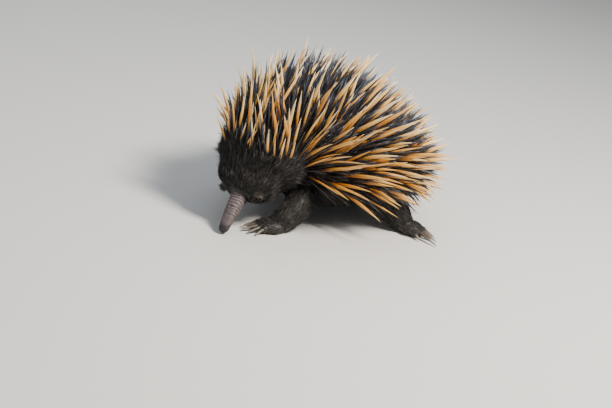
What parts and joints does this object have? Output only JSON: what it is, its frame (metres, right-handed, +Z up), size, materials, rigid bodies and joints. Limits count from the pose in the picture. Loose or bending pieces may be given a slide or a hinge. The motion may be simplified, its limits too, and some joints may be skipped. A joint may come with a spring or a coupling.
{
  "type": "echidna",
  "caption": "Short-beaked echidna, life size, standing with its head turned to the left and its beak lowered to the floor, coat of long spines.",
  "frame": {"origin": "on the floor, under the middle of the bounding box", "axes": "+Z up, the animal faces -Y, its left side is +X"},
  "size_m": [0.2594, 0.333, 0.1968],
  "materials": {
    "spines": "cream to golden orange horn with black hair between, satin",
    "dark_fur": "coarse brown-black fur with grey-brown tips",
    "beak_skin": "bare grey skin with fine cross wrinkles, darker at the tip",
    "eyes": "wet, nearly black"
  },
  "bodies": {
    "root": {"beak": "beak_skin", "head": "dark_fur", "eye_left": "eyes", "eye_right": "eyes", "ear_left": "beak_skin", "ear_right": "beak_skin", "neck": "spines", "torso": "spines", "tail": "spines", "foreleg_left": "dark_fur", "foreleg_right": "dark_fur", "hindleg_left": "dark_fur", "hindleg_right": "dark_fur"}
  },
  "joints": []
}
